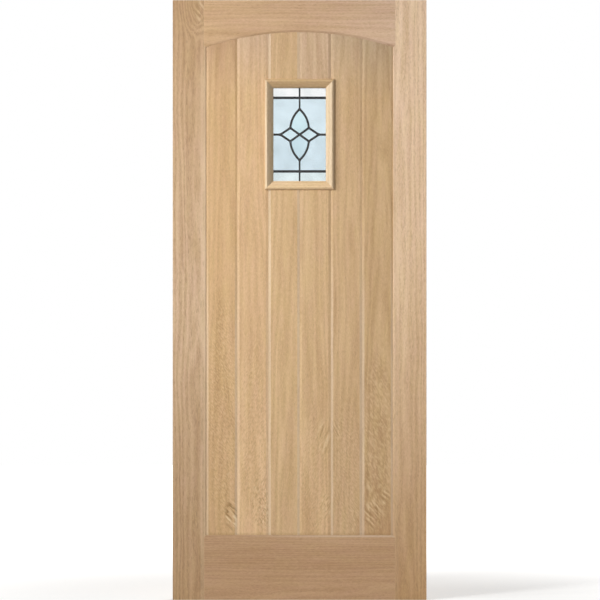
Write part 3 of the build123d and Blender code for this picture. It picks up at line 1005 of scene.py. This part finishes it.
@dataclass
class HeldParts:
    """The sealed unit's clear panes and edges, and the pieces held out of sight inside the leaf.

    Attributes:
        finishes: Finish of each group of nodes.
    """

    finishes: dict[tuple[str, ...], PlainFinish | SheetGlass] = field(default_factory=lambda: {
        ("top_rail_dowels", "bottom_rail_dowels"): BEECH,
        ("outer_spacer", "inner_spacer"): ALUMINIUM,
        ("edge_seal",): SEALANT,
        ("outer_glazing_tape", "inner_glazing_tape"): FOAM_TAPE,
        ("setting_blocks",): PACKER,
        ("outer_pane", "inner_pane"): CLEAR_FLOAT,
    })

    def dress(self) -> None:
        """Finishes each group in its own material."""
        for nodes, finish in self.finishes.items():
            material = finish.material()
            for node in nodes:
                put_on(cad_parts[node], material)
                LOG.info("held part %s in %s", node, finish.name)


@dataclass
class LeadedLight:
    """The lattice of lead cames, its solder joints and the glass quarries.

    Lengths are in mm.

    Attributes:
        middle: Height of the light's middle.
        bar: Height of the cross bars from the middle.
        tip: Height of the lancets' tips from the middle.
        joint: Where lancet and diamond meet, across and up from the middle.
        diamond: Reach of the diamonds from the middle.
        came_face: Distance of the cames' faces from the leaf's mid-plane.
        solder_radius: Radius of a solder joint.
        solder_rise: Height of a solder joint above the came.
        arris: Width of the cames' soft edges.
    """

    middle: float = 1537.5
    bar: float = 121.7
    tip: float = 83.9
    joint: tuple[float, float] = (30.5, 22.0)
    diamond: float = 63.6
    came_face: float = 3.3
    solder_radius: float = 5.2
    solder_rise: float = 1.0
    arris: float = 0.4

    def joints(self) -> list[tuple[float, float]]:
        """Lists where cames are soldered.

        Returns:
            Places across and up from the middle of the light, in mm.
        """
        places = [(0.0, 0.0)]
        for up in (-1, 1):
            places += [(0.0, up * self.tip), (0.0, up * self.bar)]
            for side in (-1, 1):
                places.append((side * self.joint[0], up * self.joint[1]))
        places += [(side * self.diamond, 0.0) for side in (-1, 1)]
        return places

    def build_solder(self) -> Object:
        """Makes the low domes of solder on both faces of the lattice.

        Returns:
            One object with every dome.
        """
        mesh = bpy.data.meshes.new("solder_joints")
        shape = bmesh.new()
        radius, rise = self.solder_radius * MM, self.solder_rise * MM
        squash = Matrix.Diagonal((radius, rise, radius, 1))
        for forward in (-1, 1):
            for across, up in self.joints():
                dome = bmesh.ops.create_uvsphere(shape, u_segments=20, v_segments=10, radius=1.0)["verts"]
                place = Vector((across * MM, forward * self.came_face * MM, (self.middle + up) * MM))
                bmesh.ops.transform(shape, matrix=Matrix.Translation(place) @ squash, verts=dome)
        for face in shape.faces:
            face.smooth = True
        bmesh.ops.recalc_face_normals(shape, faces=shape.faces)
        shape.to_mesh(mesh)
        shape.free()
        solder = bpy.data.objects.new("solder_joints", mesh)
        bpy.context.scene.collection.objects.link(solder)
        return solder

    def dress(self) -> None:
        """Adds the solder and finishes the cames and quarries."""
        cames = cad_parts["lead_cames"]
        Easing(self.arris).ease(cames)
        put_on(cames, LEAD.material())
        solder = self.build_solder()
        put_on(solder, SOLDER.material())
        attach(solder, BODY)
        LOG.info("cames and %d solder joints", 2 * len(self.joints()))
        for group, glass in CATHEDRAL.items():
            material = glass.material()
            for node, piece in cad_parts.items():
                if node.startswith(group):
                    put_on(piece, material)
                    LOG.info("quarry %s in %s", node, glass.name)


@dataclass(frozen=True)
class Softbox:
    """A round soft lamp with a grid that keeps its light on the leaf.

    Attributes:
        name: Name for the lamp.
        place: Where it hangs, in metres.
        power: Power in watts.
        aim: Height on the leaf that it points at, in metres.
        grid: Full angle that the grid lets through, in degrees.
        size: Width of the lamp, in metres.
    """

    name: str
    place: tuple[float, float, float]
    power: float
    aim: float = 1.25
    grid: float = 50.0
    size: float = 1.5

    def hang(self) -> None:
        """Hangs the lamp, turned to the leaf and out of the camera's sight."""
        data = bpy.data.lights.new(self.name, "AREA")
        data.shape, data.size, data.energy = "DISK", self.size, self.power
        data.spread = math.radians(self.grid)
        lamp = bpy.data.objects.new(self.name, data)
        lamp.location = self.place
        towards = Vector((0, 0, self.aim)) - Vector(self.place)
        lamp.rotation_euler = towards.to_track_quat("-Z", "Y").to_euler()
        lamp.visible_camera = False
        bpy.context.scene.collection.objects.link(lamp)


@dataclass
class Studio:
    """A white studio: a pale floor, soft lamps, a white surround and the camera.

    Attributes:
        camera_height: Height of the lens, in metres.
        camera_across: Place of the lens to the right of the leaf's middle, in metres.
        seen_height: Height of the leaf's face that fills the picture, in metres.
        face: How far the leaf's frame stands in front of its mid-plane, in metres.
        lens: Focal length in mm, long because the picture shows no perspective.
        sensor: Width of the sensor, in mm.
        floor_radius: Radius of the floor, in metres.
        floor_paint: Colour of the floor.
        surround: Level of the light from all round.
        floor_clear: Distances between which the floor turns white, in metres.
        floor_glow: Levels to which the floor is lifted at those distances.
        lamps: The lamps.
    """

    camera_height: float = 0.9905
    camera_across: float = 0.0013
    seen_height: float = 1.981
    face: float = 0.022
    lens: float = 200.0
    sensor: float = 36.0
    floor_radius: float = 9.0
    floor_paint: str = "#E6E5E3"
    surround: float = 0.36
    floor_clear: tuple[float, float] = (0.6, 2.4)
    floor_glow: tuple[float, float] = (0.3, 1.0)
    lamps: tuple[Softbox, ...] = (
        Softbox("key_lamp", (-3.35, -3.72, 3.5), 16.0),
        Softbox("side_lamp", (-4.5, -2.2, 1.9), 9.0),
        Softbox("back_lamp", (2.7, 4.2, 3.5), 17.0),
    )

    def build(self) -> None:
        """Sets up the whole studio."""
        self._camera()
        self._surround()
        self._floor()
        for lamp in self.lamps:
            lamp.hang()
        bpy.context.scene.view_settings.view_transform = "Standard"

    def _camera(self) -> None:
        """Stands the camera square to the leaf, at the middle of its height."""
        data = bpy.data.cameras.new("camera")
        data.lens, data.sensor_width = self.lens, self.sensor
        camera = bpy.data.objects.new("camera", data)
        away = self.face + self.seen_height * self.lens / self.sensor
        camera.location = (self.camera_across, -away, self.camera_height)
        camera.rotation_euler = (math.pi / 2, 0, 0)
        bpy.context.scene.collection.objects.link(camera)
        bpy.context.scene.camera = camera

    def _surround(self) -> None:
        """Makes the surround white where it is seen, and softer where it lights the leaf."""
        world = bpy.data.worlds.new("white_surround")
        bpy.context.scene.world = world
        world.use_nodes = True
        tree = world.node_tree
        tree.nodes.clear()
        seen = self._seen(tree)
        strength = add_node(tree, "MapRange", [seen, 0.0, 1.0, self.surround, 1.0])
        light = add_node(tree, "Background", {"Color": WHITE, "Strength": strength})
        add_node(tree, "OutputWorld", {"Surface": light})

    def _seen(self, tree: NodeTree) -> NodeSocket:
        """Tells rays that show the background from rays that light the leaf.

        Args:
            tree: Node tree of the world or the floor.

        Returns:
            One for a ray straight from the camera, also through panes of glass.
        """
        path = add_node(tree, "LightPath").node.outputs
        straight = add_node(
            tree, "Math", [1.0, path["Diffuse Depth"]], operation="SUBTRACT", use_clamp=True
        )
        through = add_node(tree, "Math", [path["Is Transmission Ray"], straight], operation="MULTIPLY")
        return add_node(tree, "Math", [path["Is Camera Ray"], through], operation="MAXIMUM")

    def _floor(self) -> None:
        """Lays a round white floor that keeps the leaf's shadow."""
        mesh = bpy.data.meshes.new("floor")
        shape = bmesh.new()
        bmesh.ops.create_circle(shape, cap_ends=True, radius=self.floor_radius, segments=96)
        shape.to_mesh(mesh)
        shape.free()
        floor = bpy.data.objects.new("floor", mesh)
        bpy.context.scene.collection.objects.link(floor)
        material, tree = new_material("white_painted_floor")
        matt = add_node(tree, "BsdfDiffuse", {"Color": linear(self.floor_paint)})
        glow = add_node(tree, "Emission", {"Color": WHITE, "Strength": self._floor_glow(tree)})
        both = add_node(tree, "AddShader", [matt, glow])
        add_node(tree, "OutputMaterial", {"Surface": both})
        put_on(floor, material)

    def _floor_glow(self, tree: NodeTree) -> NodeSocket:
        """Lifts the floor to white where it is seen, most of all away from the leaf.

        Args:
            tree: The floor's node tree.

        Returns:
            Strength of the floor's own light.
        """
        place = add_node(tree, "TexCoord", out="Object")
        away = add_node(tree, "VectorMath", [place], operation="LENGTH", out="Value")
        near, far = self.floor_clear
        dim, full = self.floor_glow
        glow = add_node(tree, "MapRange", [away, near, far, dim, full], **SMOOTH)
        return add_node(tree, "Math", [glow, self._seen(tree)], operation="MULTIPLY")


def main() -> None:
    """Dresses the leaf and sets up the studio."""
    logging.basicConfig(level=logging.INFO, format="%(message)s")
    for part in (DoorFrame(), BoardPanel(), GlazingBeads(), HeldParts(), LeadedLight()):
        part.dress()
    Studio().build()


if __name__ == "__main__":
    main()
